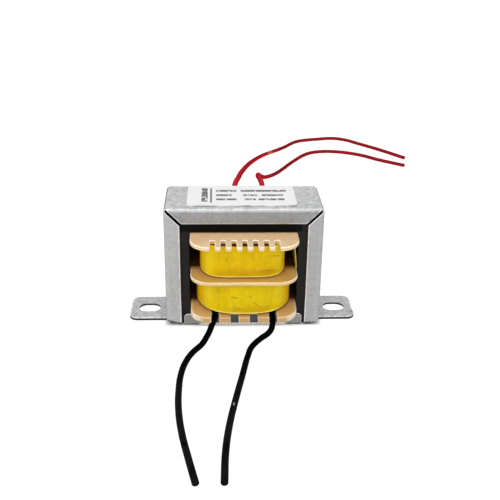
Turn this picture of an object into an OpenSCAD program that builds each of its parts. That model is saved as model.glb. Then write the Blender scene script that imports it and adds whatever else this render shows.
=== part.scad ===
// Small mains transformer with an interleaved E-I core in a folded clamp frame,
// a split bobbin with comb flanges, two taped windings and four flying leads.
// Millimetres. X runs across the feet, -Y faces the secondary leads, Z is up
// and z = 0 is the plane under the feet. The stack is centred on Y = 0.

/* [Core] */
// Width of the core across its outer legs
core_w = 35; // [33:0.5:42]
// Height of an E with its I
core_h = 28.5; // [26:0.5:36]
// Width of the middle leg
tongue_w = 10; // [8:0.5:12]
// Width of the outer legs and of both yokes
leg_w = 4.9; // [4.4:0.1:5.5]
// Thickness of one core sheet
sheet_t = 0.5; // [0.35:0.05:0.65]
// Number of sheet layers, half of them turned over
layers = 30; // [20:2:40]
// Gap where an E butts against its I
butt_gap = 0.06; // [0.02:0.02:0.2]

/* [Clamp frame] */
// Thickness of the frame sheet
frame_t = 0.6; // [0.5:0.1:1]
// Play between the core and each side wall
side_play = 0.15; // [0.1:0.05:0.3]
// Play between the core and the lips, and under the top
face_play = 0.1; // [0.1:0.05:0.3]
// Width of the folded lips, seen from the front
lip_w = 3.65; // [2.5:0.05:4.5]
// Width of the gap in the mitred lip corners
mitre_gap = 0.6; // [0.2:0.05:0.8]
// Height of the side lips above the ground
lip_lift = 0.35; // [0.1:0.05:0.6]
// Height of the diagonal at the outer foot of the right lips
lip_cut = 1.7; // [1:0.1:2]
// Slant of the foot of the left lips, from their inner to their outer edge
lip_slant = 0.8; // [0.2:0.1:1.2]

/* [Feet] */
// Reach of a foot beyond the side wall
foot_len = 9.1; // [7:0.1:14]
// Width of a foot
foot_w = 11.4; // [8:0.2:12.4]
// Corner radius of a foot
foot_r = 2; // [0.5:0.25:3.5]
// Inner radius of the bend between wall and foot
foot_bend = 0.4; // [0.2:0.1:1]
// Height of the relief above the bend, beside the foot
foot_relief = 0.5; // [0.3:0.1:1.5]
// Length of a screw slot
slot_len = 5.2; // [4.4:0.1:6.4]
// Width of a screw slot
slot_w = 4; // [2.5:0.1:4.3]
// Distance from the end of a foot to the middle of its slot
slot_inset = 4.6; // [3.6:0.1:5]

/* [Base plate] */
// Thickness of the base plate sheet
base_t = 0.4; // [0.3:0.05:0.8]
// Height of the upturned base plate edges
base_lip_h = 2.95; // [1.5:0.05:3.5]
// Corner radius of the upturned edges
base_lip_r = 0.9; // [0.3:0.1:1.4]
// Gap between the base plate and the side lips of the frame
base_gap = 0.6; // [0.3:0.1:1.5]

/* [Bobbin] */
// Wall of the square tube on the middle leg
tube_wall = 0.8; // [0.6:0.1:1.1]
// Play between the tube and the middle leg
tube_play = 0.15; // [0.1:0.05:0.3]
// Thickness of the top and bottom flanges
flange_t = 1; // [0.7:0.05:1.4]
// Thickness of the flange between the bays
divider_t = 0.9; // [0.6:0.05:1.4]
// Reach of the top and bottom flanges beyond the face of the stack
flange_reach = 8.6; // [8.4:0.1:10]
// Reach of the flange between the bays beyond the face of the stack
divider_reach = 8; // [7.8:0.1:10]
// Play between the flanges and the outer legs
flange_play = 0.35; // [0.1:0.05:0.6]
// Corner radius of the flanges
flange_r = 4.6; // [2:0.1:6]
// Height of the lower bay
lower_bay = 7.65; // [6:0.05:9]
// Gap between the bobbin and the lower yoke
seat_gap = 0.05; // [0.02:0.01:0.2]
// Gap between the bobbin and the upper yoke
head_gap = 0.25; // [0.1:0.05:0.6]
// Extra thickness under the bottom combs
comb_drop = 0.45; // [0.2:0.05:0.8]
// Distance between the stack and the bottom combs
comb_clear = 0.3; // [0.2:0.05:0.6]

/* [Comb notches] */
// Number of notches in each top comb
top_notches = 7; // [3:1:8]
// Spacing of the top notches
top_pitch = 2.4; // [1.8:0.1:2.8]
// Width of a top notch
top_notch_w = 1.3; // [0.8:0.05:1.6]
// Depth of a top notch
top_notch_l = 4.1; // [3:0.1:4.5]
// Number of notches in each bottom comb
bottom_notches = 4; // [2:1:5]
// Spacing of the bottom notches
bottom_pitch = 4.4; // [3:0.1:4.8]
// Width of a bottom notch
bottom_notch_w = 1.85; // [1.4:0.05:2.4]
// Depth of a bottom notch
bottom_notch_l = 4.3; // [3:0.1:4.5]

/* [Windings] */
// Build of the primary and its tape on the sides of the tube
primary_side = 3.9; // [3:0.05:4.6]
// Build of the primary and its tape on the ends of the tube
primary_end = 4.6; // [3.5:0.05:6]
// Distance of the primary's middle from the tube's middle
primary_shift = -0.3; // [-0.8:0.1:0.8]
// Build of the secondary and its tape on the sides of the tube
secondary_side = 5.2; // [3.5:0.05:5.6]
// Build of the secondary and its tape on the ends of the tube
secondary_end = 6.05; // [4:0.05:6.5]
// Thickness of the wrapped tape
tape_t = 0.3; // [0.15:0.05:0.5]
// Thickness of the single layer at the loose tape end
tape_layer = 0.15; // [0.1:0.05:0.2]
// Distance behind the middle at which the loose tape end leaves the tape
loose_from = 9; // [7:0.5:10]
// Length over which the loose tape end springs outwards
loose_run = 13; // [9:0.5:14]
// Distance of the loose tape end's tip in front of the middle
loose_tip = 8.5; // [6:0.5:11]
// Gap between the loose tape end and the outer leg
loose_gap = 0.4; // [0.2:0.05:0.8]
// Clearance round windings and tapes
wrap_gap = 0.05; // [0.02:0.01:0.1]

/* [Label] */
// Width of the label
label_w = 25.3; // [15:0.1:30]
// Distance of the label's middle from the frame's middle
label_shift = -0.4; // [-1.5:0.1:1.5]
// Distance from the front of the frame to the label
label_front = 2.05; // [1:0.05:6]
// Length of the label's turned-down rear edge
label_turn = 2.2; // [1.2:0.1:3.4]
// Corner radius of the label
label_r = 1.2; // [0.3:0.1:2]
// Thickness of the label
label_t = 0.1; // [0.05:0.05:0.2]

/* [Leads] */
// Diameter of a red lead
red_d = 1.2; // [1:0.05:1.25]
// Diameter of a black lead
black_d = 1.4; // [1:0.05:1.5]

/* [Hidden] */
$fn = 48;

// How far cutting shapes run past what they cut
past = 1;
// Diagonal of a square whose side is 1
diagonal = sqrt(2);

// Core levels
stack = layers * sheet_t;
core_top = base_t + core_h;
window_low = base_t + leg_w;
window_high = core_top - leg_w;

// Frame outside, and bends that clear the square corners of the core
frame_w = core_w + 2 * (side_play + frame_t);
frame_d = stack + 2 * (face_play + frame_t);
frame_h = core_top + face_play + frame_t;
bend_in = 3 * min(side_play, face_play);
bend_out = bend_in + frame_t;
wall_flat = frame_d - 2 * bend_out;
foot_top = frame_t + foot_bend;

// Base plate outside
base_w = frame_w - 2 * (lip_w + base_gap);
base_inner_d = stack + 2 * face_play;
base_d = base_inner_d + 2 * base_t;

// Bobbin outside and levels
tube_w = tongue_w + 2 * (tube_play + tube_wall);
tube_d = stack + 2 * (tube_play + tube_wall);
tube_r = tube_wall;
flange_w = core_w - 2 * (leg_w + flange_play);
flange_d = stack + 2 * flange_reach;
divider_d = stack + 2 * divider_reach;
bobbin_low = window_low + seat_gap;
bobbin_high = window_high - head_gap;
divider_low = bobbin_low + flange_t + lower_bay;
top_flange_low = bobbin_high - flange_t;

// Bays between the flanges, as lowest and highest level of what is wound there
lower_low = bobbin_low + flange_t + wrap_gap;
lower_high = divider_low - wrap_gap;
upper_low = divider_low + divider_t + wrap_gap;
upper_high = top_flange_low - wrap_gap;

// Half sizes of the taped windings, seen from above
primary_x = tube_w / 2 + primary_side;
primary_y = tube_d / 2 + primary_end;
secondary_x = tube_w / 2 + secondary_side;
secondary_y = tube_d / 2 + secondary_end;

// Squareness of the taped windings: 2 is an ellipse, larger is squarer
primary_power = 3.6;
secondary_power = 2.6;
wrap_steps = 72;

// Steps in which the loose tape end springs outwards
loose_steps = 8;

// Routes of the leads along their middle lines, from the winding outwards
lead_sides = 8;
red_left_route = [
    [-2.4, 12.7, 22.7], [-2.4, 12.7, 24.3], [-2.2, 12.7, 25.6], [-1.9, 13.1, 26.9], [-1.6, 14, 27.8],
    [-1.3, 15.4, 28.1], [-0.7, 18.6, 27.9], [0, 24, 27.2], [1, 32, 25.6], [2.9, 48, 21.9],
    [5.2, 65, 17.8], [8, 83, 13.4], [11.4, 100.5, 9.2], [15.2, 117, 5.2], [19.6, 131.5, 2.1],
    [22.6, 139.5, 0.8], [25.2, 144, 0.6], [27.8, 147, 0.6], [31, 148.8, 0.6], [37, 150.6, 0.6],
    [43.5, 151.8, 0.6], [48.2, 149.8, 0.6], [53.3, 144, 0.6], [60.5, 135.2, 0.6], [68.4, 124, 0.6]
];
red_right_route = [
    [4.8, 12.7, 22.7], [4.8, 12.7, 24.3], [5, 12.7, 25.8], [5.2, 12.9, 27], [5.1, 13.6, 28.1],
    [4.8, 14.7, 28.7], [4.6, 16.2, 28.8], [4.5, 19, 28.2], [4.7, 24, 26.9], [5.4, 32, 24.2],
    [6.3, 42, 20.6], [7.9, 58, 15], [9.9, 75, 9.1], [11.6, 86, 5.6], [13.7, 95, 3.1],
    [15.9, 102, 1.6], [18.5, 109, 0.7], [21.7, 115.5, 0.6], [25, 121.6, 0.6], [28.3, 127, 0.6],
    [31.5, 130.4, 0.6], [35.4, 132.2, 0.6], [42, 132.2, 0.6], [50.6, 128.2, 0.6], [58, 121, 0.6],
    [66.2, 114.2, 0.6]
];
black_left_route = [
    [-6.6, -12.6, 6.4], [-6.6, -12.6, 5.4], [-6.8, -13.1, 4.4], [-7.4, -14, 3.3], [-7.9, -15.1, 2.4],
    [-8.5, -16.6, 1.9], [-9.6, -19, 1.3], [-11.5, -21.4, 0.75], [-12.8, -24.6, 0.7],
    [-13.8, -29.5, 0.7], [-14.1, -36.5, 0.7], [-13.8, -43.5, 0.7], [-12.9, -50.5, 0.7],
    [-11.5, -57.5, 0.7], [-10, -64.4, 0.7]
];
black_right_route = [
    [6.6, -12.6, 6.4], [6.6, -12.6, 5.3], [6.7, -13, 4.2], [6.6, -13.7, 3], [6.2, -14.4, 2.1],
    [5.3, -15.4, 1.6], [4, -16.5, 1.3], [2.6, -17.9, 0.9], [1.5, -19.8, 0.75], [0.6, -23.2, 0.7],
    [-0.9, -31.2, 0.7], [-2.5, -39.8, 0.7], [-3.8, -47.6, 0.7], [-4.7, -56, 0.7], [-5, -64.4, 0.7]
];

// Rectangle standing on its lower edge, with round upper corners
module arch_outline(w, h, r) {
    translate([-w / 2, 0]) square([w, h - r]);
    translate([-w / 2 + r, 0]) square([w - 2 * r, h]);
    for (side = [-1, 1]) translate([side * (w / 2 - r), h - r]) circle(r);
}

// Rectangle about the origin, with four round corners
module pad_outline(w, d, r) {
    square([w, d - 2 * r], center = true);
    square([w - 2 * r, d], center = true);
    for (x = [-1, 1], y = [-1, 1]) translate([x * (w / 2 - r), y * (d / 2 - r)]) circle(r);
}

// Extrudes a front view, drawn in X and Z, to both sides of Y = 0
module from_front(d) {
    rotate([90, 0, 0]) linear_extrude(d, center = true) children();
}

// Extrudes a side view, drawn in Y and Z, to both sides of X = 0
module from_side(w) {
    rotate([90, 0, 90]) linear_extrude(w, center = true) children();
}

// Block standing on z = 0, with round upright and top edges
module rounded_block(w, d, h, r) {
    intersection() {
        from_front(d) arch_outline(w, h, r);
        from_side(w) arch_outline(d, h, r);
        linear_extrude(h) pad_outline(w, d, r);
    }
}

// Top, walls and lips of the frame as one bent shell, open below
module frame_shell() {
    difference() {
        rounded_block(frame_w, frame_d, frame_h, bend_out);
        translate([0, 0, -past])
            rounded_block(frame_w - 2 * frame_t, frame_d - 2 * frame_t, frame_h - frame_t + past, bend_in);
    }
}

// Opening between the lips, through front and rear
module lip_window() {
    translate([lip_w - frame_w / 2, -frame_d / 2 - past, -past])
        cube([frame_w - 2 * lip_w, frame_d + 2 * past, frame_h - lip_w + past]);
}

// Gaps where the top lip meets the side lips at 45 degrees
module mitre_gaps() {
    for (side = [-1, 1], face = [0, 1])
        mirror([0, face, 0])
            translate([side * frame_w / 2, frame_d / 2 - bend_out, frame_h])
                rotate([0, side * 45, 0])
                    translate([-mitre_gap / 2, 0, -lip_w * diagonal - past])
                        cube([mitre_gap, bend_out + past, lip_w * diagonal + 2 * past]);
}

// Opening in the bottom of the right wall, in which its foot sits
module wall_cut() {
    translate([frame_w / 2 - frame_t - past, -wall_flat / 2, -past])
        cube([frame_t + 2 * past, wall_flat, foot_top + foot_relief + past]);
}

// What is cut from under the right lips: level, with a diagonal outer corner
module right_lip_cut() {
    inner = frame_w / 2 - lip_w - past;
    outer = frame_w / 2 + past;
    from_front(frame_d + 2 * past)
        polygon([
            [inner, -past], [outer, -past], [outer, lip_cut + past],
            [frame_w / 2 - lip_cut + lip_lift, lip_lift], [inner, lip_lift]
        ]);
}

// What is cut from under the left lips: slanting up to their outer edge
module left_lip_cut() {
    inner = lip_w - frame_w / 2;
    fall = lip_slant / lip_w;
    from_front(frame_d + 2 * past)
        polygon([
            [-frame_w / 2 - past, -past], [inner + past, -past],
            [inner + past, lip_lift - fall * past], [-frame_w / 2 - past, lip_lift + lip_slant + fall * past]
        ]);
}

// Foot on the right: short upright, bend and slotted plate
module foot() {
    plate_x = frame_w / 2 + foot_bend;
    plate_l = foot_len - foot_bend;
    translate([frame_w / 2 - frame_t, -foot_w / 2, foot_top]) cube([frame_t, foot_w, foot_relief]);
    translate([plate_x, foot_w / 2, foot_top])
        rotate([90, 0, 0])
            rotate([0, 0, 180])
                rotate_extrude(angle = 90)
                    translate([foot_bend, 0]) square([frame_t, foot_w]);
    difference() {
        translate([plate_x, 0, 0])
            linear_extrude(frame_t) {
                translate([0, -foot_w / 2]) square([plate_l - foot_r, foot_w]);
                translate([0, foot_r - foot_w / 2]) square([plate_l, foot_w - 2 * foot_r]);
                for (y = [-1, 1]) translate([plate_l - foot_r, y * (foot_w / 2 - foot_r)]) circle(foot_r);
            }
        translate([frame_w / 2 + foot_len - slot_inset, 0, -past]) screw_slot(frame_t + 2 * past);
    }
}

// Slot with round ends, along X
module screw_slot(h) {
    run = slot_len - slot_w;
    for (x = [-1, 1]) translate([x * run / 2, 0, 0]) cylinder(d = slot_w, h = h);
    translate([-run / 2, -slot_w / 2, 0]) cube([run, slot_w, h]);
}

module frame() {
    color("silver") {
        difference() {
            frame_shell();
            lip_window();
            mitre_gaps();
            for (side = [0, 1]) mirror([side, 0, 0]) wall_cut();
            right_lip_cut();
            left_lip_cut();
        }
        for (side = [0, 1]) mirror([side, 0, 0]) foot();
    }
}

// Channel under the stack, with upturned edges in the open part of the frame
module base_plate() {
    color("darkgray")
        intersection() {
            from_side(base_w)
                difference() {
                    translate([0, base_lip_h]) mirror([0, 1]) arch_outline(base_d, base_lip_h, base_t);
                    translate([-base_inner_d / 2, base_t]) square([base_inner_d, base_lip_h]);
                }
            from_front(base_d) arch_outline(base_w, base_lip_h, base_lip_r);
        }
}

// Front view of an E with its yoke on the lower edge
module e_outline() {
    leg_l = core_h - leg_w - butt_gap;
    translate([-core_w / 2, 0]) square([core_w, leg_w]);
    translate([-tongue_w / 2, 0]) square([tongue_w, leg_l]);
    for (x = [-core_w / 2, core_w / 2 - leg_w]) translate([x, 0]) square([leg_w, leg_l]);
}

// Front view of an I, on its lower edge
module i_outline() {
    translate([-core_w / 2, 0]) square([core_w, leg_w]);
}

// Every second sheet of the stack, from the front one or from the one behind it
module sheets(first) {
    for (i = [first : 2 : layers - 1])
        translate([0, -stack / 2 + (i + 1) * sheet_t, 0])
            rotate([90, 0, 0]) linear_extrude(sheet_t) children();
}

module e_laminations_upright() {
    color("dimgray") translate([0, 0, base_t]) sheets(0) e_outline();
}

module i_laminations_top() {
    color("dimgray") translate([0, 0, window_high]) sheets(0) i_outline();
}

module e_laminations_inverted() {
    color("gray") translate([0, 0, core_top]) sheets(1) mirror([0, 1]) e_outline();
}

module i_laminations_bottom() {
    color("gray") translate([0, 0, base_t]) sheets(1) i_outline();
}

// Notches with round inner ends, in the front and rear edge of a flange
module comb_notches(count, pitch, w, l) {
    for (face = [0, 1], i = [0 : count - 1])
        mirror([0, face])
            translate([(i - (count - 1) / 2) * pitch, flange_d / 2 - l + w / 2]) {
                circle(w / 2);
                translate([-w / 2, 0]) square([w, l]);
            }
}

module bottom_comb_outline() {
    difference() {
        pad_outline(flange_w, flange_d, flange_r);
        comb_notches(bottom_notches, bottom_pitch, bottom_notch_w, bottom_notch_l);
    }
}

module top_comb_outline() {
    difference() {
        pad_outline(flange_w, flange_d, flange_r);
        comb_notches(top_notches, top_pitch, top_notch_w, top_notch_l);
    }
}

module bobbin() {
    comb_hole_d = stack + 2 * comb_clear;
    color("burlywood")
        difference() {
            union() {
                translate([0, 0, bobbin_low])
                    linear_extrude(bobbin_high - bobbin_low) pad_outline(tube_w, tube_d, tube_r);
                translate([0, 0, bobbin_low]) linear_extrude(flange_t) bottom_comb_outline();
                translate([0, 0, divider_low])
                    linear_extrude(divider_t) pad_outline(flange_w, divider_d, flange_r);
                translate([0, 0, top_flange_low]) linear_extrude(flange_t) top_comb_outline();
                translate([0, 0, bobbin_low - comb_drop])
                    linear_extrude(comb_drop)
                        difference() {
                            bottom_comb_outline();
                            square([flange_w + past, comb_hole_d], center = true);
                        }
            }
            translate([0, 0, bobbin_low - past])
                linear_extrude(bobbin_high - bobbin_low + 2 * past)
                    square([tongue_w + 2 * tube_play, stack + 2 * tube_play], center = true);
        }
}

// Outline of a taped winding seen from above, a squared ellipse
function squared(x, power) = sign(x) * pow(abs(x), 2 / power);
function wrap_points(half_x, half_y, power) = [
    for (i = [0 : wrap_steps - 1])
        let (a = 360 * i / wrap_steps) [half_x * squared(cos(a), power), half_y * squared(sin(a), power)]
];

// Tape round a winding
module tape_ring(half_x, half_y, power, h) {
    linear_extrude(h)
        difference() {
            polygon(wrap_points(half_x, half_y, power));
            polygon(wrap_points(half_x - tape_t, half_y - tape_t, power));
        }
}

// Wire between the tube and the tape
module winding_ring(half_x, half_y, power, shift, h) {
    inset = tape_t + wrap_gap;
    linear_extrude(h)
        difference() {
            translate([shift, 0]) polygon(wrap_points(half_x - inset, half_y - inset, power));
            pad_outline(tube_w + 2 * wrap_gap, tube_d + 2 * wrap_gap, tube_r + wrap_gap);
        }
}

module primary_winding() {
    color("peru")
        translate([0, 0, upper_low])
            winding_ring(primary_x, primary_y, primary_power, primary_shift, upper_high - upper_low);
}

module secondary_winding() {
    color("peru")
        translate([0, 0, lower_low])
            winding_ring(secondary_x, secondary_y, secondary_power, 0, lower_high - lower_low);
}

// Inner side of the loose tape end, from the right side of the tape to the tip beside the outer leg
function loose_side() =
    let (
        flatness = pow(1 - pow(loose_from / primary_y, primary_power), 1 / primary_power),
        near = primary_shift + primary_x * flatness - 2 * tape_layer,
        far = core_w / 2 - leg_w - loose_gap - tape_layer
    )
    concat(
        [for (i = [0 : loose_steps])
            let (t = i / loose_steps, eased = 1 - pow(1 - t, 3))
                [near + (far - near) * eased, loose_from - loose_run * t]],
        [[far, -loose_tip]]
    );

module loose_end(h) {
    side = loose_side();
    last = len(side) - 1;
    linear_extrude(h)
        polygon(concat(side, [for (i = [last : -1 : 0]) side[i] + [tape_layer, 0]]));
}

module primary_tape() {
    tape_h = upper_high - upper_low;
    color("gold")
        translate([0, 0, upper_low]) {
            translate([primary_shift, 0, 0]) tape_ring(primary_x, primary_y, primary_power, tape_h);
            loose_end(tape_h);
        }
}

module secondary_tape() {
    color("gold")
        translate([0, 0, lower_low])
            tape_ring(secondary_x, secondary_y, secondary_power, lower_high - lower_low);
}

// Label on the top of the frame, turned down over the rear bend
module label() {
    sheet_d = frame_d + 2 * label_t;
    sheet_h = frame_h + label_t;
    rear = frame_d / 2 + label_t;
    front = label_front - frame_d / 2;
    color("white")
        translate([label_shift, 0, 0])
            intersection() {
                from_side(label_w)
                    difference() {
                        arch_outline(sheet_d, sheet_h, bend_out + label_t);
                        arch_outline(frame_d, frame_h, bend_out);
                    }
                translate([0, 0, sheet_h - label_turn])
                    linear_extrude(label_turn) {
                        translate([-label_w / 2, front + label_r]) square([label_w, rear - front - label_r]);
                        translate([label_r - label_w / 2, front]) square([label_w - 2 * label_r, label_r]);
                        for (x = [-1, 1])
                            translate([x * (label_w / 2 - label_r), front + label_r]) circle(label_r);
                    }
            }
}

// Direction of a route at each of its points
function unit(v) = v / norm(v);
function directions(route) = [
    for (i = [0 : len(route) - 1])
        unit(route[min(i + 1, len(route) - 1)] - route[max(i - 1, 0)])
];

// Sideways vectors at each point, each turned as little as possible from the last
function carried(v, along) = unit(v - (v * along) * along);
function sideways(along, i) =
    i == 0 ? [carried([1, 0, 0], along[0])]
    : let (before = sideways(along, i - 1)) concat(before, [carried(before[i - 1], along[i])]);

// Round tube along a route, as rings of points joined by four-sided faces
module lead(route, d) {
    last = len(route) - 1;
    along = directions(route);
    across = sideways(along, last);
    points = [
        for (i = [0 : last], k = [0 : lead_sides - 1])
            let (a = 360 * (k + 0.5) / lead_sides)
                route[i] + d / 2 * (cos(a) * across[i] + sin(a) * cross(along[i], across[i]))
    ];
    sides = [
        for (i = [0 : last - 1], k = [0 : lead_sides - 1])
            let (m = (k + 1) % lead_sides, low = i * lead_sides, high = low + lead_sides)
                [low + k, high + k, high + m, low + m]
    ];
    near_end = [for (k = [0 : lead_sides - 1]) k];
    far_end = [for (k = [lead_sides - 1 : -1 : 0]) last * lead_sides + k];
    polyhedron(points, concat([near_end], sides, [far_end]));
}

module red_lead_left() {
    color("crimson") lead(red_left_route, red_d);
}

module red_lead_right() {
    color("crimson") lead(red_right_route, red_d);
}

module black_lead_left() {
    color("black") lead(black_left_route, black_d);
}

module black_lead_right() {
    color("black") lead(black_right_route, black_d);
}

frame();
base_plate();
e_laminations_upright();
i_laminations_top();
e_laminations_inverted();
i_laminations_bottom();
bobbin();
primary_winding();
secondary_winding();
primary_tape();
secondary_tape();
label();
red_lead_left();
red_lead_right();
black_lead_left();
black_lead_right();
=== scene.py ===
import math

import bmesh
import bpy
import numpy as np
from mathutils import Matrix, Vector


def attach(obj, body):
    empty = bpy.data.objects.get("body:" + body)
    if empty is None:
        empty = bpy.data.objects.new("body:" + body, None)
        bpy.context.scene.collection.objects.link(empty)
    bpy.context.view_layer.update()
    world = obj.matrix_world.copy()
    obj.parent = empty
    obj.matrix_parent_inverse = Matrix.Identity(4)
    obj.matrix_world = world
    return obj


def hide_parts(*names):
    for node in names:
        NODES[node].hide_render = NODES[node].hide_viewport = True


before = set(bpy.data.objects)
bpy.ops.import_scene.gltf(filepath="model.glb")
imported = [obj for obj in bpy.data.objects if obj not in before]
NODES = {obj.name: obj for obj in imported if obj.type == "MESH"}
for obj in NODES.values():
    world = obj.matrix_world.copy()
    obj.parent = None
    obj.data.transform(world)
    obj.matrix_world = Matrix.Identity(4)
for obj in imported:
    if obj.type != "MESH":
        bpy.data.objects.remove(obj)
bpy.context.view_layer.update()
MM = 0.001

# Camera, at the photograph's viewing angle
CAMERA_AZIMUTH = -2.654
CAMERA_ELEVATION = 24.004
CAMERA_ROLL = 0.875
CAMERA_TARGET = (1.41, -8.0, 19.55)
CAMERA_DISTANCE = 177.92
CAMERA_LENS = 55.83
CAMERA_CLIP = (0.01, 20)


def add_camera():
    az, el, roll = (math.radians(a) for a in (CAMERA_AZIMUTH, CAMERA_ELEVATION, CAMERA_ROLL))
    back = Vector((math.sin(az) * math.cos(el), -math.cos(az) * math.cos(el), math.sin(el)))
    right = Vector((0, 0, 1)).cross(back).normalized()
    up = back.cross(right)
    turned_right = right * math.cos(roll) + up * math.sin(roll)
    turned_up = up * math.cos(roll) - right * math.sin(roll)
    data = bpy.data.cameras.new("camera")
    data.lens = CAMERA_LENS
    data.clip_start, data.clip_end = CAMERA_CLIP
    camera = bpy.data.objects.new("camera", data)
    bpy.context.scene.collection.objects.link(camera)
    turn = Matrix((turned_right, turned_up, back)).transposed()
    camera.matrix_world = turn.to_4x4()
    camera.location = (Vector(CAMERA_TARGET) + back * CAMERA_DISTANCE) * MM
    bpy.context.scene.camera = camera


add_camera()

# Leads: middle lines in millimetres, as in the part's source
RED_D = 1.2
BLACK_D = 1.4
RED_LEFT_ROUTE = [
    (-2.4, 12.7, 22.7), (-2.4, 12.7, 24.3), (-2.2, 12.7, 25.6), (-1.9, 13.1, 26.9), (-1.6, 14, 27.8),
    (-1.3, 15.4, 28.1), (-0.7, 18.6, 27.9), (0, 24, 27.2), (1, 32, 25.6), (2.9, 48, 21.9),
    (5.2, 65, 17.8), (8, 83, 13.4), (11.4, 100.5, 9.2), (15.2, 117, 5.2), (19.6, 131.5, 2.1),
    (22.6, 139.5, 0.8), (25.2, 144, 0.6), (27.8, 147, 0.6), (31, 148.8, 0.6), (37, 150.6, 0.6),
    (43.5, 151.8, 0.6), (48.2, 149.8, 0.6), (53.3, 144, 0.6), (60.5, 135.2, 0.6), (68.4, 124, 0.6),
]
RED_RIGHT_ROUTE = [
    (4.8, 12.7, 22.7), (4.8, 12.7, 24.3), (5, 12.7, 25.8), (5.2, 12.9, 27), (5.1, 13.6, 28.1),
    (4.8, 14.7, 28.7), (4.6, 16.2, 28.8), (4.5, 19, 28.2), (4.7, 24, 26.9), (5.4, 32, 24.2),
    (6.3, 42, 20.6), (7.9, 58, 15), (9.9, 75, 9.1), (11.6, 86, 5.6), (13.7, 95, 3.1),
    (15.9, 102, 1.6), (18.5, 109, 0.7), (21.7, 115.5, 0.6), (25, 121.6, 0.6), (28.3, 127, 0.6),
    (31.5, 130.4, 0.6), (35.4, 132.2, 0.6), (42, 132.2, 0.6), (50.6, 128.2, 0.6), (58, 121, 0.6),
    (66.2, 114.2, 0.6),
]
BLACK_LEFT_ROUTE = [
    (-6.6, -12.6, 6.4), (-6.6, -12.6, 5.4), (-6.8, -13.1, 4.4), (-7.4, -14, 3.3), (-7.9, -15.1, 2.4),
    (-8.5, -16.6, 1.9), (-9.6, -19, 1.3), (-11.5, -21.4, 0.75), (-12.8, -24.6, 0.7),
    (-13.8, -29.5, 0.7), (-14.1, -36.5, 0.7), (-13.8, -43.5, 0.7), (-12.9, -50.5, 0.7),
    (-11.5, -57.5, 0.7), (-10, -64.4, 0.7),
]
BLACK_RIGHT_ROUTE = [
    (6.6, -12.6, 6.4), (6.6, -12.6, 5.3), (6.7, -13, 4.2), (6.6, -13.7, 3), (6.2, -14.4, 2.1),
    (5.3, -15.4, 1.6), (4, -16.5, 1.3), (2.6, -17.9, 0.9), (1.5, -19.8, 0.75), (0.6, -23.2, 0.7),
    (-0.9, -31.2, 0.7), (-2.5, -39.8, 0.7), (-3.8, -47.6, 0.7), (-4.7, -56, 0.7), (-5, -64.4, 0.7),
]


def add_piece(name, points, faces):
    """A mesh piece from points in millimetres, with its faces turned outwards."""
    mesh = bpy.data.meshes.new(name)
    mesh.from_pydata((np.asarray(points, float) * MM).tolist(), [], faces)
    solid = bmesh.new()
    solid.from_mesh(mesh)
    bmesh.ops.recalc_face_normals(solid, faces=solid.faces)
    solid.to_mesh(mesh)
    solid.free()
    mesh.polygons.foreach_set("use_smooth", [True] * len(mesh.polygons))
    piece = bpy.data.objects.new(name, mesh)
    bpy.context.scene.collection.objects.link(piece)
    return piece


# A red lead is squeezed where it passes the comb, and fuller outside it
PINCHED_POINTS = 3
RED_FULLNESS = 1.12


def lead_curve(name, route, diameter, fullness):
    data = bpy.data.curves.new(name, "CURVE")
    data.dimensions = "3D"
    data.bevel_depth = 1
    data.bevel_resolution = 5
    data.resolution_u = 10
    data.use_fill_caps = True
    spline = data.splines.new("BEZIER")
    spline.bezier_points.add(len(route) - 1)
    for i, (x, y, z) in enumerate(route):
        point = spline.bezier_points[i]
        radius = diameter / 2 * (fullness if i >= PINCHED_POINTS else 1)
        point.co = Vector((x, y, max(z, radius))) * MM
        point.radius = radius * MM
        point.handle_left_type = "AUTO"
        point.handle_right_type = "AUTO"
    piece = bpy.data.objects.new(name, data)
    bpy.context.scene.collection.objects.link(piece)
    return piece


def add_lead(node, route, diameter, fullness=1.0):
    lead = lead_curve(node + "_wire", route, diameter, fullness)
    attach(lead, "root")
    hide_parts(node)
    steps = zip(route, route[1:])
    length = sum((Vector(b) - Vector(a)).length for a, b in steps) * MM
    return lead


red_left = add_lead("red_lead_left", RED_LEFT_ROUTE, RED_D, RED_FULLNESS)
red_right = add_lead("red_lead_right", RED_RIGHT_ROUTE, RED_D, RED_FULLNESS)
black_left = add_lead("black_lead_left", BLACK_LEFT_ROUTE, BLACK_D)
black_right = add_lead("black_lead_right", BLACK_RIGHT_ROUTE, BLACK_D)


# Materials
class Nodes:
    """A node tree, with short ways to add nodes to it."""

    def __init__(self, tree):
        self.tree = tree

    def feed(self, socket, value):
        if isinstance(value, bpy.types.NodeSocket):
            self.tree.links.new(value, socket)
        else:
            socket.default_value = value

    def node(self, kind, inputs=None, **settings):
        made = self.tree.nodes.new(kind)
        for key, value in settings.items():
            setattr(made, key, value)
        for socket, value in (inputs or {}).items():
            self.feed(made.inputs[socket], value)
        return made

    def math(self, operation, *values):
        return self.node("ShaderNodeMath", dict(enumerate(values)), operation=operation).outputs[0]

    def vector(self, operation, *values):
        return self.node("ShaderNodeVectorMath", dict(enumerate(values)), operation=operation).outputs[0]

    def length(self, vector):
        return self.node("ShaderNodeVectorMath", {0: vector}, operation="LENGTH").outputs["Value"]

    def times(self, *values):
        total = values[0]
        for value in values[1:]:
            total = self.math("MULTIPLY", total, value)
        return total


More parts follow.
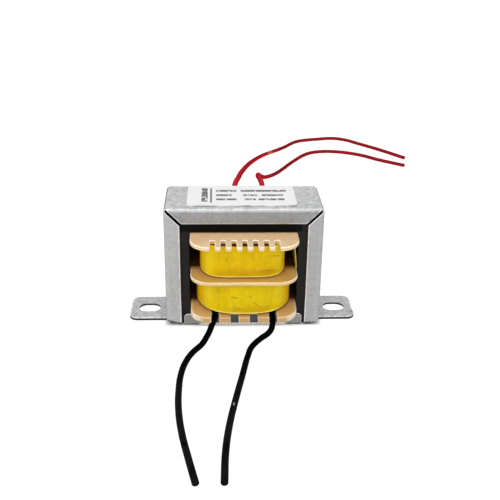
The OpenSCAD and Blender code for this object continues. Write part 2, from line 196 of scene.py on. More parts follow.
class Look(Nodes):
    """A material. Its places are in millimetres."""

    def __init__(self, name, metallic=0.0, specular=0.5):
        self.material = bpy.data.materials.new(name)
        self.material.use_nodes = True
        super().__init__(self.material.node_tree)
        self.shader = self.tree.nodes["Principled BSDF"]
        self.give("Metallic", metallic)
        self.give("Specular IOR Level", specular)
        self.place = self.shade(self.node("ShaderNodeTexCoord").outputs["Object"], 1 / MM)
        self.x, self.y, self.z = self.parts(self.place)

    def give(self, socket, value):
        self.feed(self.shader.inputs[socket], value)

    def parts(self, vector):
        return self.node("ShaderNodeSeparateXYZ", {0: vector}).outputs

    def facing(self):
        return self.parts(self.node("ShaderNodeNewGeometry").outputs["Normal"])

    def size(self, value):
        return self.math("ABSOLUTE", value)

    def less(self, share, by=1.0):
        """One less a share of a mask, to darken by."""
        return self.math("MULTIPLY_ADD", share, -by, 1.0)

    def more(self, share, by):
        """One and a share of a mask, to brighten by."""
        return self.math("MULTIPLY_ADD", share, by, 1.0)

    def noise(self, scale, detail=3.0, roughness=0.55, at=None):
        inputs = {"Vector": at or self.place, "Scale": scale, "Detail": detail, "Roughness": roughness}
        return self.node("ShaderNodeTexNoise", inputs).outputs[0]

    def stretched(self, *scales):
        return self.vector("MULTIPLY", self.place, scales)

    def ramp(self, value, start, end):
        """Rises smoothly from 0 at start to 1 at end."""
        inputs = {0: value, 1: start, 2: end}
        return self.node("ShaderNodeMapRange", inputs, interpolation_type="SMOOTHSTEP").outputs[0]

    def band(self, value, middle, half):
        """One at the middle, fading to 0 at half on both sides."""
        away = self.size(self.math("SUBTRACT", value, middle))
        return self.ramp(away, half, 0.0)

    def spot(self, middle, reach):
        """One at a place, fading to 0 at the reach along each axis."""
        away = self.vector("SUBTRACT", self.place, middle)
        near = self.vector("DIVIDE", away, reach)
        return self.ramp(self.length(near), 1.0, 0.3)

    def vary(self, level, *parts):
        """A level that each pair of a texture and a spread moves up and down."""
        total = level - sum(spread for texture, spread in parts) / 2
        for texture, spread in parts:
            total = self.math("MULTIPLY_ADD", texture, spread, total)
        return total

    def mix(self, share, first, second):
        inputs = {0: share, 6: first, 7: second}
        return self.node("ShaderNodeMix", inputs, data_type="RGBA").outputs[2]

    def shade(self, colour, level):
        """A colour or vector times a level."""
        return self.node("ShaderNodeVectorMath", {0: colour, "Scale": level}, operation="SCALE").outputs[0]

    def finish(self, colour, rough, relief=None, depth=0.0):
        """Gives colour, roughness and a small relief, its depth in millimetres between heights 0 and 1."""
        self.give("Base Color", colour)
        self.give("Roughness", rough)
        if relief is not None:
            inputs = {"Height": relief, "Strength": 1.0, "Distance": depth * MM}
            self.give("Normal", self.node("ShaderNodeBump", inputs).outputs[0])
        return self.material


def grey(level):
    return (level, level, level, 1)


# Tapes, with folds and layer ends as runs from the front middle and heights
TAPE_T = 0.28
TAPE_STEP = 0.075
TAPE_SIDE_STEP = 0.25
TAPE_FRONT = 12.6
LAYER = 0.05
UPPER_TAPE = {
    "half": (9.93, 13.05), "power": 4.0, "shift": -0.22, "low": 14.95, "high": 22.52, "layer_end": 9.9,
    "seams": [(-8.8, 0.9), (-0.9, 0.15), (9.9, 1.0)],
    "creases": [
        [(5.0, 20.5), (9.6, 19.4)],
        [(3.0, 16.9), (6.2, 16.7), (8.6, 16.3)],
    ],
}
LOWER_TAPE = {
    "half": (11.25, 14.5), "power": 2.7, "shift": 0.1, "low": 6.4, "high": 13.95, "layer_end": 9.3,
    "seams": [(-9.6, 0.6), (9.3, 0.9)],
    "creases": [
        [(-3.4, 6.95), (-1.5, 7.9), (-0.1, 8.05)],
        [(-3.0, 8.0), (-1.4, 8.6)],
        [(-2.85, 10.6), (-1.1, 10.8)],
        [(0.8, 11.3), (1.9, 10.7)],
        [(1.05, 10.0), (2.7, 8.95), (3.9, 7.4)],
        [(4.4, 8.35), (5.95, 8.1)],
    ],
}

# Sizes of the frame, the slanted lower ends and dents of its sheet, and its tone
FRAME_HALF = 18.25
FRAME_TOP = 29.6
LIP_W = 3.65
FOOT_HALF = 27.35
FOOT_SIDE = 5.7
MITRE = FRAME_TOP - FRAME_HALF
LIP_LIFT = 0.35
LIP_SLANT = 0.8
NICKS = [((-18.2, 3.8, 29.4), (0.6, 1.5, 0.6)), ((27.1, -2.9, 0.6), (0.7, 1.5, 0.8))]
ZINC_LEVEL = 0.42
ZINC_TINT = (0.99, 0.995, 1.0)


def nicks(look, texture):
    """Small dark dents at an edge of the top and of a foot."""
    spots = [look.spot(*nick) for nick in NICKS]
    return look.times(look.math("MAXIMUM", *spots), look.ramp(texture, 0.42, 0.52))


def lip_end_shadow(look, texture):
    """Painted shadow: the ragged dark line along the lower ends of the side lips."""
    end = look.math("MULTIPLY_ADD", look.ramp(look.x, LIP_W - FRAME_HALF, -FRAME_HALF), LIP_SLANT, LIP_LIFT)
    line = look.band(look.math("SUBTRACT", look.z, end), 0.2, 0.45)
    return look.times(line, look.ramp(texture, 0.34, 0.46), look.ramp(look.size(look.y), 7.2, 7.5))


def off_the_mitre(look):
    """How far a place lies above the line of the nearer mitre."""
    return look.math("SUBTRACT", look.math("SUBTRACT", look.z, look.size(look.x)), MITRE)


def plating(look, flat, clouds, mottle, grain):
    """Level of the zinc: mottled on flat faces, streaked down the walls and lips."""
    patches = look.noise(0.55, 3.0)
    rolled = look.noise(1.0, 3.0, at=look.stretched(1.3, 1.3, 0.06))
    uneven = look.vary(0.0, (clouds, 0.15), (patches, 0.4), (mottle, 1.1), (grain, 0.7))
    uneven = look.times(uneven, look.math("MULTIPLY_ADD", flat, 0.75, 0.45))
    streaks = look.times(look.vary(0.0, (rolled, 0.35)), look.less(flat))
    return look.times(look.math("ADD", look.math("ADD", uneven, streaks), 1.0), ZINC_LEVEL)


def lip_lines(look, top_lip, side_lip):
    """Painted highlight lines along the inner edges of the lips and beside the mitres."""
    low_line = look.band(look.z, FRAME_TOP - LIP_W + 0.18, 0.14)
    mitre_line = look.band(off_the_mitre(look), 0.72, 0.24)
    side_line = look.band(look.size(look.x), FRAME_HALF - LIP_W + 0.2, 0.16)
    top_line = look.times(top_lip, look.math("MAXIMUM", low_line, mitre_line))
    return look.math("MAXIMUM", top_line, look.times(side_line, side_lip))


def foot_edges(look):
    """The front and outer edges of the feet, seen from above."""
    front = look.ramp(look.y, 1.0 - FOOT_SIDE, 0.6 - FOOT_SIDE)
    return look.math("MAXIMUM", front, look.ramp(look.size(look.x), FOOT_HALF - 0.5, FOOT_HALF - 0.25))


def zinc_face():
    look = Look("zinc_steel", metallic=0.5)
    nx, ny, nz = look.facing()
    clouds = look.noise(0.22, 2.0)
    mottle = look.noise(1.1, 5.0, 0.62)
    grain = look.noise(5.0, 2.0)
    blotch = look.ramp(look.noise(0.8, 4.0), 0.48, 0.62)
    across = look.size(look.x)
    tilt = look.size(nz)
    flat = look.ramp(tilt, 0.6, 0.95)
    upright = look.ramp(look.size(ny), 0.45, 0.9)
    above = look.ramp(off_the_mitre(look), -0.05, 0.05)
    top_lip = look.times(upright, above)
    side_lip = look.times(upright, look.less(above))
    stain = look.times(top_lip, look.ramp(across, 9.0, 17.0), blotch)
    bend_mark = look.times(flat, look.band(across, FRAME_HALF + 1.0, 1.6), blotch)
    # Painted contact shadow: darker within half a millimetre of the floor.
    under = look.ramp(look.z, 0.52, 0.44)
    # Painted shade: upright faces darker towards the right.
    painted_shade_right = look.times(look.ramp(look.x, -12.0, 16.0), upright)
    foot_top = look.times(flat, look.ramp(look.z, 0.8, 0.7))
    # Painted highlight along the front and outer edges of the feet.
    foot_rim = look.times(foot_edges(look), foot_top, look.ramp(mottle, 0.35, 0.5))
    # Painted highlight lines along the lips' inner edges and beside the mitres.
    line = look.times(lip_lines(look, top_lip, side_lip), look.ramp(mottle, 0.3, 0.5))
    # Painted highlight along the folds; the folds are also rougher.
    fold = look.times(look.ramp(look.size(ny), 0.15, 0.45), look.ramp(tilt, 0.15, 0.45))
    # Painted shadow line along the lower ends of the side lips.
    lip_end_shade = look.times(lip_end_shadow(look, mottle), upright)
    # Painted shade on the faces of the mitre gaps.
    mitre_wall = look.times(look.ramp(look.size(nx), 0.5, 0.65), look.ramp(tilt, 0.5, 0.65))
    # Painted shade darkens the top lip and painted light brightens the flat faces.
    level = look.times(
        plating(look, flat, clouds, mottle, grain),
        look.less(top_lip, 0.26), look.less(stain, 0.25), look.less(bend_mark, 0.35),
        look.less(under, 0.95), look.less(painted_shade_right, 0.1), look.less(foot_top, 0.06),
        look.less(lip_end_shade, 0.9), look.less(nicks(look, mottle), 0.7), look.less(mitre_wall, 0.95),
        look.more(flat, 0.2), look.more(line, 0.75), look.more(fold, 0.24), look.more(foot_rim, 0.55),
    )
    rough = look.math("MULTIPLY_ADD", fold, 0.08, look.vary(0.42, (mottle, 0.22), (clouds, 0.12)))
    relief = look.vary(0.5, (mottle, 0.6), (grain, 0.4))
    return look.finish(look.shade(ZINC_TINT, level), rough, relief, 0.012)


def zinc_edge():
    # Painted highlight: a bright metal tone on the worn-round edges, uneven with noise.
    look = Look("zinc_edge", metallic=1.0)
    wear_and_highlight = look.noise(1.1, 4.0)
    grain = look.noise(9.0, 2.0)
    # Painted contact shadow near the floor.
    under = look.ramp(look.z, 0.5, 0.42)
    ny, nz = look.facing()[1:]
    foot = look.ramp(look.z, 0.75, 0.65)
    # Painted shadow on the feet's edges below their top rim, and on edges facing down.
    foot_wall = look.math("MAXIMUM", look.times(foot, look.ramp(nz, 0.92, 0.8)), look.ramp(nz, -0.35, -0.6))
    # Painted shade on the edges along the mitre gaps.
    at_mitre = look.times(look.band(off_the_mitre(look), 0.0, 0.8), look.ramp(look.size(ny), 0.85, 0.6))
    level = look.vary(0.74, (wear_and_highlight, 0.4), (grain, 0.1))
    level = look.times(level, look.less(under, 0.95), look.less(foot_wall, 0.95), look.less(at_mitre, 0.7))
    # Real dents, and the painted shadow line at the lower ends of the lips.
    level = look.times(level, look.less(nicks(look, wear_and_highlight), 0.8), look.less(lip_end_shadow(look, wear_and_highlight), 0.9))
    return look.finish(look.shade((1.0, 1.0, 1.0), level), look.vary(0.34, (wear_and_highlight, 0.3)))


BASE_TINT = (1.0, 0.985, 0.96)
# Tone of the painted reflection on the plate's lower bend
BASE_BEND = grey(0.95)


def base_face():
    look = Look("base_steel", metallic=1.0)
    mottle = look.noise(1.6, 5.0, 0.6)
    grain = look.noise(8.0, 2.0)
    rolled = look.noise(1.0, 3.0, at=look.stretched(0.12, 2.0, 2.0))
    across = look.size(look.x)
    # Painted contact shade towards the floor.
    under = look.ramp(look.z, 0.5, 0.0)
    # Painted shadow of the bobbin's lower comb on the middle of the plate.
    shaded = look.times(look.ramp(across, 10.5, 8.5), look.ramp(look.z, 0.3, 0.6))
    level = look.vary(0.25, (mottle, 0.16), (grain, 0.1), (rolled, 0.1))
    level = look.times(level, look.less(under, 0.6), look.less(shaded, 0.68))
    # Painted reflection of the white floor on the lower bend in the middle.
    bend = look.times(look.ramp(across, 11.0, 9.5), look.ramp(look.z, 0.6, 0.4))
    colour = look.mix(bend, look.shade(BASE_TINT, level), BASE_BEND)
    return look.finish(colour, look.vary(0.45, (mottle, 0.25)), mottle, 0.008)


def base_edge():
    # Painted highlight: a bright metal tone on the edges, with painted contact shade near the floor.
    look = Look("base_edge", metallic=1.0)
    wear_and_highlight = look.noise(1.3, 4.0)
    under = look.ramp(look.z, 0.5, 0.2)
    level = look.times(look.vary(0.6, (wear_and_highlight, 0.5)), look.less(under, 0.8))
    return look.finish(look.shade((1.0, 0.99, 0.97), level), look.vary(0.36, (wear_and_highlight, 0.3)))


JOINT_Z = 24.0
VARNISH_TINT = (1.0, 0.97, 0.98)


def core_face():
    look = Look("core_steel")
    varnish = look.noise(0.7, 4.0)
    grain = look.noise(6.0, 3.0)
    sheets = look.noise(1.0, 2.0, at=look.stretched(0.05, 2.2, 0.05))
    joint = look.band(look.z, JOINT_Z, 0.16)
    dust = look.ramp(look.noise(3.0, 5.0, 0.7), 0.58, 0.75)
    level = look.vary(0.017, (varnish, 0.014), (grain, 0.01), (sheets, 0.01))
    # Painted shadow of the top lip on the sheets above the joint, all but their right end.
    shaded = look.times(look.ramp(look.z, JOINT_Z, JOINT_Z + 0.1), look.ramp(look.x, 13.4, 13.2))
    level = look.times(level, look.less(joint, 0.9), look.less(shaded, 0.9))
    dust_and_shade = look.math("MULTIPLY_ADD", dust, 0.012, level)
    # Painted shade: faces not turned to the front or back, as inside the windows, darkened and without
    # specular.
    cheek = look.ramp(look.size(look.facing()[1]), 0.5, 0.9)
    dust_and_shade = look.times(dust_and_shade, look.math("MULTIPLY_ADD", cheek, 0.85, 0.15))
    look.give("Specular IOR Level", look.times(cheek, 0.08))
    rough = look.vary(0.5, (varnish, 0.35), (grain, 0.1))
    relief = look.vary(0.5, (varnish, 0.6), (grain, 0.4))
    return look.finish(look.shade(VARNISH_TINT, dust_and_shade), rough, relief, 0.02)


# Places of the upper comb, and tones of the moulding, some of them painted light, shade and highlights
COMB_Y = 12.4
COMB_Z = 22.6
COMB_X = 9.6
TAN = ((0.7, 0.455, 0.23, 1), (0.78, 0.55, 0.32, 1))
# Tone of the painted shade and yellow bounce light on the lower flanges
AMBER = (0.5, 0.29, 0.062, 1)
PALE_TOOTH = (0.78, 0.7, 0.56, 1)
# Tone of the painted light on upright faces, then tones of painted highlights
PALE_EDGE = (0.86, 0.65, 0.36, 1)
CREAM = (0.97, 0.9, 0.76, 1)
LOW_CREAM = (0.9, 0.68, 0.33, 1)
END_CREAM = (1.0, 0.95, 0.82, 1)
WARM_SHADE = (0.44, 0.17, 0.035, 1)
DEEP_SHADE = (0.045, 0.014, 0.004, 1)
NOTCH_SHADE = (0.55, 0.26, 0.06, 1)


def tape_shade(look, tape):
    """Masks of painted shade on the flange under a tape, at its contact and in the depth, and of painted
    warm shade around it.
    """
    half_x, half_y = tape["half"]
    across = look.size(look.math("SUBTRACT", look.x, tape["shift"]))
    across = look.math("POWER", look.math("DIVIDE", across, half_x), tape["power"])
    along = look.math("POWER", look.math("DIVIDE", look.size(look.y), half_y), tape["power"])
    off = look.math("ADD", across, along)
    near = look.times(look.ramp(off, 1.22, 1.0), 0.65)
    deep = look.ramp(look.size(look.y), 9.6, 5.6)
    level = look.band(look.z, tape["low"] - 0.05, 0.5)
    return look.times(level, look.math("MAXIMUM", near, deep)), look.times(level, look.ramp(off, 1.9, 1.1))


def pale_rims(look, low):
    """Masks of the painted highlight along the soft edges, and of the faces turned to the sides, where it is
    whiter.
    """
    facing = look.facing()
    tilt = look.size(facing[2])
    end = look.size(facing[0])
    low_top = look.times(low, look.ramp(facing[2], 0.0, 0.1))
    rim = look.times(look.ramp(tilt, 0.2, 0.5), look.ramp(tilt, 0.99, 0.85), look.less(low_top, 0.2))
    border = look.math("MAXIMUM", look.ramp(look.size(look.x), 11.7, 12.1), look.ramp(end, 0.25, 0.6))
    return look.math("MAXIMUM", rim, look.times(border, low, 0.7)), look.ramp(end, 0.2, 0.6)


def flange_shade(look, high):
    """Masks of the flanges' painted shade, under the tapes and in the core, and of their painted warm shade.
    """
    along = look.size(look.y)
    upper_dark, upper_warm = tape_shade(look, UPPER_TAPE)
    lower_dark, lower_warm = tape_shade(look, LOWER_TAPE)
    inside = look.ramp(look.math("SUBTRACT", along, look.times(high, 0.9)), 7.1, 6.6)
    bars = look.times(look.ramp(look.size(look.x), 12.0, 12.3), look.ramp(along, 8.2, 7.8))
    under = look.math("MAXIMUM", upper_dark, lower_dark)
    hidden = look.math("MAXIMUM", under, look.math("MAXIMUM", inside, bars))
    return hidden, look.math("MAXIMUM", upper_warm, lower_warm)


def bobbin_face():
    look = Look("bobbin_plastic")
    clouds = look.noise(0.35, 3.0)
    mottle = look.noise(1.8, 4.0)
    grain = look.noise(6.0, 2.0)
    streaks = look.noise(1.0, 4.0, at=look.stretched(0.5, 2.6, 2.6))
    ny, nz = look.facing()[1:]
    tilt = look.size(nz)
    along = look.size(look.y)
    high = look.ramp(look.z, COMB_Z, COMB_Z + 0.2)
    lower = look.ramp(look.z, 20.0, 16.0)
    low = look.ramp(look.z, 8.0, 7.0)
    comb = look.times(high, look.ramp(look.size(look.x), COMB_X, COMB_X - 0.8))
    teeth = look.times(look.ramp(along, COMB_Y, COMB_Y + 0.6), comb)
    # Painted shade and yellow bounce light from the tapes: the lower flanges amber, most on the divider.
    bounce_and_shade = look.times(lower, look.math("MULTIPLY_ADD", look.ramp(look.z, 7.0, 13.0), 0.3, 0.55))
    # Painted light on the flanges' upright faces.
    edge = look.times(look.ramp(tilt, 0.8, 0.4), look.ramp(look.z, 6.6, 10.0), 0.65)
    # Painted highlights along the soft edges and on the ends.
    rim, end = pale_rims(look, low)
    # Painted shade under the tapes and inside the core, and painted warm shade around the tapes.
    hidden, warm = flange_shade(look, high)
    # Painted shade on the inner ends of the upper notches.
    notch_end = look.times(look.ramp(look.size(ny), 0.3, 0.7), look.ramp(along, COMB_Y + 1.0, COMB_Y + 0.4))
    notch_end = look.times(notch_end, comb, look.ramp(tilt, 0.6, 0.3), 0.65)
    toned = look.mix(bounce_and_shade, look.mix(clouds, *TAN), AMBER)
    toned = look.mix(look.times(teeth, 0.3), toned, PALE_TOOTH)
    toned = look.mix(edge, toned, PALE_EDGE)
    cream = look.mix(end, look.mix(lower, CREAM, LOW_CREAM), END_CREAM)
    toned = look.mix(look.times(rim, look.ramp(mottle, 0.25, 0.45), 0.85), toned, cream)
    toned = look.mix(look.times(warm, 0.45), toned, WARM_SHADE)
    toned = look.mix(look.times(hidden, 0.94), toned, DEEP_SHADE)
    toned = look.mix(notch_end, toned, NOTCH_SHADE)
    front = look.times(low, look.ramp(look.size(ny), 0.6, 0.9))
    level = look.times(look.vary(1.0, (mottle, 0.35), (grain, 0.25), (streaks, 0.4)), look.less(front, 0.15))
    look.give("Specular IOR Level", look.times(look.less(hidden), 0.35))
    relief = look.vary(0.5, (mottle, 0.5), (grain, 0.5))
    return look.finish(look.shade(toned, level), look.vary(0.42, (mottle, 0.25)), relief, 0.008)


# Copper painted very dark: painted shade of the windings, seen only deep in the notches.
COPPER = ((0.05, 0.012, 0.006, 1), (0.14, 0.04, 0.018, 1))


def copper_wire():
    look = Look("copper", metallic=1.0)
    tarnish_and_shade = look.noise(0.9, 4.0)
    turns = look.noise(1.0, 2.0, at=look.stretched(0.15, 0.15, 6.0))
    return look.finish(look.mix(tarnish_and_shade, *COPPER), look.vary(0.34, (tarnish_and_shade, 0.3)), turns, 0.03)


# Tones of the film, some of them painted light, shade and highlights, and its stains and specks as places
# and reaches
UPPER_YELLOW = ((0.71, 0.46, 0.001, 1), (0.77, 0.52, 0.001, 1))
LOWER_YELLOW = ((0.69, 0.485, 0.001, 1), (0.75, 0.55, 0.001, 1))
FILM_STAIN = (0.5, 0.24, 0.002, 1)
FILM_SPECK = (0.12, 0.05, 0.01, 1)
FILM_SIDE = (0.98, 0.74, 0.006, 1)
FILM_CORNER = (1.0, 0.56, 0.002, 1)
FILM_LOOSE = (1.0, 0.82, 0.22, 1)
FILM_CREASE = (0.34, 0.17, 0.001, 1)
FILM_SEAM = (0.9, 0.66, 0.01, 1)
FILM_RIM = (0.97, 0.82, 0.16, 1)
UPPER_STAINS = [((6.4, -12.5, 16.5), (5.0, 3.0, 1.2)), ((0.0, -13.0, 16.0), (10.0, 3.0, 2.2))]
LOWER_STAINS = [
    ((-5.8, -12.6, 11.9), (1.1, 2.0, 0.8)),
    ((-9.4, -10.0, 8.4), (3.0, 4.0, 1.6)),
    ((-2.6, -14.2, 10.7), (1.0, 2.0, 0.5)),
    ((1.5, -14.2, 7.4), (8.0, 3.0, 1.5)),
]
UPPER_SPECK = ((-4.1, -13.0, 19.5), (0.25, 0.6, 0.3))
LOWER_SPECK = ((-1.0, -14.5, 12.6), (0.2, 0.5, 0.2))


def yellow_film(name, tones, low, stains, speck):
    look = Look(name, specular=0.09)
    clouds = look.noise(0.3, 3.0)
    blotch = look.noise(0.9, 4.0)
    pulled = look.noise(1.0, 3.0, at=look.stretched(1.1, 1.1, 0.12))
    grain = look.noise(5.0, 3.0)
    fold = look.node("ShaderNodeAttribute", attribute_name="fold").outputs["Fac"]
    seam = look.node("ShaderNodeAttribute", attribute_name="seam").outputs["Fac"]
    across = look.size(look.x)
    # Painted highlights along the lower edge and beside the folds.
    rim = look.times(look.band(look.z, low + 0.28, 0.26), 0.9)
    beside = look.times(look.band(fold, 0.25, 0.2), 0.14)
    toned = look.mix(look.ramp(pulled, 0.25, 0.75), *tones)
    for stain in stains:
        toned = look.mix(look.times(look.spot(*stain), 0.4), toned, FILM_STAIN)
    toned = look.mix(look.times(look.spot(*speck), 0.6), toned, FILM_SPECK)
    # Painted light towards the sides.
    toned = look.mix(look.times(look.ramp(across, 5.5, 8.5), 0.7), toned, FILM_SIDE)
    # Painted shade on the sides, more orange.
    toned = look.mix(look.ramp(across, 8.7, 10.2), toned, FILM_CORNER)
    # Painted light on the loose end.
    toned = look.mix(look.ramp(across, 11.4, 11.6), toned, FILM_LOOSE)
    # Painted shade in the folds.
    toned = look.mix(look.times(look.ramp(fold, 0.4, 0.95), 0.55), toned, FILM_CREASE)
    # Painted highlight on the seams and the layer end.
    toned = look.mix(look.times(seam, 0.6), toned, FILM_SEAM)
    toned = look.mix(look.math("MAXIMUM", beside, rim), toned, FILM_RIM)
    level = look.vary(0.98, (clouds, 0.24), (blotch, 0.3), (grain, 0.22))
    rough = look.vary(0.36, (clouds, 0.2), (grain, 0.15))
    relief = look.vary(0.5, (pulled, 0.5), (grain, 0.5))
    return look.finish(look.shade(toned, level), rough, relief, 0.012)


# Paper, and the middles and half sizes of the bars on it
PAPER = (0.9, 0.9, 0.895)
INK = (0.02, 0.02, 0.022, 1)
LABEL_BARS = [
    (-3.9, 3.8, 2.4, 0.62), (4.9, 3.8, 5.4, 0.62),
    (-4.5, 0.8, 1.8, 0.58), (1.7, 0.8, 1.7, 0.58), (6.9, 0.8, 2.5, 0.58),
    (-3.9, -2.0, 2.4, 0.58), (1.6, -2.0, 1.3, 0.58), (6.5, -2.0, 3.0, 0.58),
    (-7.5, 0.8, 0.2, 4.9), (-9.0, 1.1, 0.7, 4.6),
]


def paper():
    look = Look("white_paper", specular=0.2)
    fibre = look.noise(1.0, 4.0, at=look.stretched(2.5, 6.0, 6.0))
    clouds = look.noise(0.3, 2.0)
    screen = look.ramp(look.noise(1.0, 2.0, at=look.stretched(1.9, 0.7, 0.2)), 0.36, 0.46)
    ink = None
    for x, y, half_x, half_y in LABEL_BARS:
        in_x = look.math("COMPARE", look.x, x, half_x)
        bar = look.times(in_x, look.math("COMPARE", look.y, y, half_y))
        ink = bar if ink is None else look.math("MAXIMUM", ink, bar)
    printed = look.times(ink, look.ramp(look.z, FRAME_TOP - 0.4, FRAME_TOP - 0.2), screen, 0.86)
    sheet = look.shade(PAPER, look.vary(1.0, (fibre, 0.06), (clouds, 0.05)))
    return look.finish(look.mix(printed, sheet, INK), look.vary(0.6, (fibre, 0.2)), fibre, 0.008)


# Tones of the leads, some of them painted light, shade and highlights, and their pale spots and painted
# highlight spots as places and reaches
RED = ((0.34, 0.012, 0.018, 1), (0.49, 0.022, 0.03, 1))
RED_SIDES = ((0.45, 0.014, 0.022, 1), (0.98, 0.03, 0.044, 1))
RED_TOP = (0.66, 0.02, 0.035, 1)
RED_LOW = (0.16, 0.002, 0.008, 1)
RED_PALE = (0.75, 0.45, 0.42, 1)
BLACK = (grey(0.0012), grey(0.008))
BLACK_HIGHLIGHT = grey(0.4)
RED_LEFT_SPOT = ((13.3, 109.0, 7.2), (4.0, 11.0, 4.0))
RED_RIGHT_SPOT = ((5.0, 26.0, 26.4), (1.0, 3.0, 1.0))
BLACK_LEFT_SPOT = ((-7.6, -14.3, 3.4), (0.28, 0.5, 0.4))
BLACK_RIGHT_SPOT = ((-2.9, -42.2, 1.3), (0.26, 0.8, 0.4))


def red_cover(name, patch, clear):
    look = Look(name, specular=0.0)
    clouds = look.noise(0.4, 3.0)
    grain = look.noise(4.0, 3.0)
    nz = look.facing()[2]
    base = look.mix(clouds, *RED)
    # Painted highlight on the top of each lead where it rises over the frame.
    painted_top_highlight = look.times(look.ramp(nz, 0.1, 0.9), look.ramp(look.z, 24.0, 26.5), 0.5)
    base = look.mix(painted_top_highlight, base, RED_TOP)
    # Painted light and shade on the raised runs: darker on top, brighter underneath.
    raised = look.times(look.ramp(look.z, 1.0, 5.0), look.ramp(look.z, 27.6, 25.5), clear)
    by_side = look.mix(look.ramp(nz, 0.7, -0.5), *RED_SIDES)
    base = look.mix(raised, base, by_side)
    base = look.mix(look.times(look.ramp(look.z, 6.0, 1.5), 0.35), base, RED_LOW)
    # A pale spot on each lead.
    pale_marks = look.mix(look.times(look.spot(*patch), 0.35), base, RED_PALE)
    rough = look.vary(0.38, (clouds, 0.2), (grain, 0.15))
    relief = look.vary(0.5, (clouds, 0.5), (grain, 0.5))
    return look.finish(look.shade(pale_marks, look.vary(1.0, (grain, 0.2))), rough, relief, 0.01)


def black_cover(name, highlight_spot):
    look = Look(name, specular=0.004)
    clouds = look.noise(0.4, 3.0)
    grain = look.noise(5.0, 3.0)
    # Painted highlights: a few pale streaks, and a pale spot on each lead.
    pale_marks = look.ramp(look.noise(2.2, 5.0, 0.7), 0.62, 0.74)
    wear_and_highlight = look.math("MAXIMUM", look.spot(*highlight_spot), look.times(pale_marks, 0.12))
    far = look.ramp(look.y, -18.0, -45.0)
    base = look.mix(look.times(far, look.ramp(clouds, 0.2, 0.6)), *BLACK)
    colour = look.mix(look.times(wear_and_highlight, 0.7), base, BLACK_HIGHLIGHT)
    rough = look.vary(0.4, (clouds, 0.2), (grain, 0.15))
    relief = look.vary(0.5, (clouds, 0.5), (grain, 0.5))
    return look.finish(colour, rough, relief, 0.01)


# Solids that keep their shape: edges worn round, and a painted highlight along them
FLAT_WITHIN = math.radians(1)
WORN_ABOVE = math.radians(35)
SHARP_ABOVE = math.radians(50)
SAME_POINT = 1e-6
FRAME_WEAR = 0.15
BASE_WEAR = 0.12


def whole_flats(piece):
    flats = piece.modifiers.new("flats", "DECIMATE")
    flats.decimate_type = "DISSOLVE"
    flats.angle_limit = FLAT_WITHIN


def even_shading(piece):
    corners = piece.modifiers.new("corners", "WEIGHTED_NORMAL")
    corners.keep_sharp = True


def dress(name, face, edge=None, round_by=0.0):
    node = NODES[name]
    mesh = node.data
    mesh.materials.clear()
    mesh.materials.append(face)
    if edge:
        mesh.materials.append(edge)
    mesh.polygons.foreach_set("material_index", [0] * len(mesh.polygons))
    mesh.polygons.foreach_set("use_smooth", [True] * len(mesh.polygons))
    weld = node.modifiers.new("join", "WELD")
    weld.merge_threshold = SAME_POINT
    whole_flats(node)
    if round_by:
        wear_and_highlight = node.modifiers.new("worn edges", "BEVEL")
        wear_and_highlight.limit_method = "ANGLE"
        wear_and_highlight.angle_limit = WORN_ABOVE
        wear_and_highlight.width = round_by * MM
        wear_and_highlight.segments = 3
        wear_and_highlight.use_clamp_overlap = False
        wear_and_highlight.material = 1 if edge else -1
    even_shading(node)


core_steel = core_face()
copper = copper_wire()
dress("frame", zinc_face(), zinc_edge(), FRAME_WEAR)
dress("base_plate", base_face(), base_edge(), BASE_WEAR)
for core_node in ("e_laminations_upright", "i_laminations_top",
                  "e_laminations_inverted", "i_laminations_bottom"):
    dress(core_node, core_steel)
for winding in ("primary_winding", "secondary_winding"):
    dress(winding, copper)


# Bobbin: the same plates and tube as the solid, with the soft edges of a moulding
FLANGE_W = 24.5
FLANGE_D = 32.2
DIVIDER_D = 31.0
FLANGE_R = 4.6
TOOTH_R = 0.32
SOFT_EDGE = 0.3
STACK_HALF = 7.8
WINDOW_W = 25.1
TOP_COMB = {"count": 7, "pitch": 2.4, "width": 1.1, "depth": 4.1}
BOTTOM_COMB = {"count": 4, "pitch": 4.4, "width": 1.85, "depth": 4.3}
TUBE_OUTER = (11.9, 16.9)
TUBE_INNER = (10.3, 15.3)
SEAT = (FLANGE_W - 0.04, 2 * STACK_HALF + 0.1)
WINDOW = (WINDOW_W, 2 * STACK_HALF - 0.8)
TUBE_R = 0.8
HOLE_R = 0.1
PLAIN_R = 0.05
BACK_R = 0.35
BACK_STRIP = 0.5
BACK_SOFT = 0.02
TUBE_LEVELS = (6.25, 22.85)
HOLE_LEVELS = (4.0, 25.0)
TOP_LEVELS = (22.75, 23.75)
DIVIDER_LEVELS = (14.0, 14.9)
SEAT_LEVELS = (5.35, 6.33)
COMB_LEVELS = (4.9, 6.35)
WINDOW_LEVELS = [(22.8, 23.7), (14.05, 14.85), (5.4, 6.3)]


def comb_corners(comb):
    """Corners of a flange's front edge from left to right, each with its radius."""
    front = -FLANGE_D / 2
    inner = front + comb["depth"]
    half = comb["width"] / 2
    corners = [(-FLANGE_W / 2, front, FLANGE_R)]
    for k in range(comb["count"]):
        middle = (k - (comb["count"] - 1) / 2) * comb["pitch"]
        left = middle - half
        right = middle + half
        corners += [(left, front, TOOTH_R), (left, inner, half)]
        corners += [(right, inner, half), (right, front, TOOTH_R)]
    return corners + [(FLANGE_W / 2, front, FLANGE_R)]


def comb_limit(comb):
    """Half width of a comb, up to where its last tooth corner ends."""
    return (comb["count"] - 1) / 2 * comb["pitch"] + comb["width"] / 2 + TOOTH_R


def turned(corners):
    return [(-x, -y, radius) for x, y, radius in corners]


def rectangle(width, depth, radius):
    front = [(-width / 2, -depth / 2, radius), (width / 2, -depth / 2, radius)]
    return front + turned(front)


